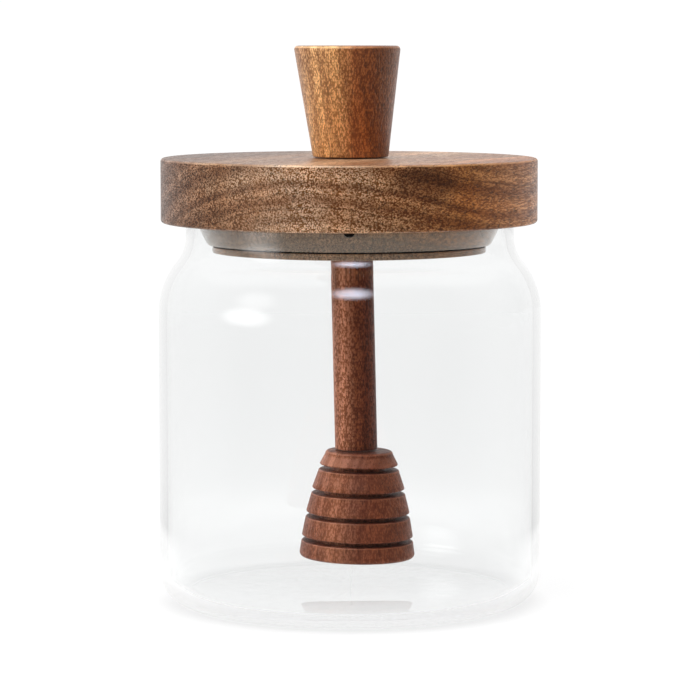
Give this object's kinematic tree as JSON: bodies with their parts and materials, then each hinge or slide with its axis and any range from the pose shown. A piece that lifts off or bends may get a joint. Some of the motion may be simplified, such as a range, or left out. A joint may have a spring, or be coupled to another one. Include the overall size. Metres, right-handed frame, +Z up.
{
  "type": "glass honey jar with dipper lid",
  "caption": "Clear glass storage jar with a turned wooden lid and knob, a clear silicone seal, and a wooden honey dipper that hangs from the lid into the jar.",
  "frame": {"origin": "centre of the jar's base, on the surface it stands on", "axes": "+Z up the jar's axis to the knob, -Y towards the front, where the seal's vent notch is, +X to the right seen from the front"},
  "size_m": [0.1, 0.1, 0.1456],
  "materials": {
    "jar_glass": "clear and polished",
    "lid_wood": "oiled, fine speckled grain",
    "seal_silicone": "clear silicone, satin",
    "knob_wood": "oiled golden wood",
    "dipper_wood": "oiled reddish brown wood"
  },
  "bodies": {
    "root": {"glass_jar": "jar_glass", "lid": "lid_wood", "seal_ring": "seal_silicone", "knob": "knob_wood", "dipper_stick": "dipper_wood", "dipper_head": "dipper_wood"}
  },
  "joints": []
}
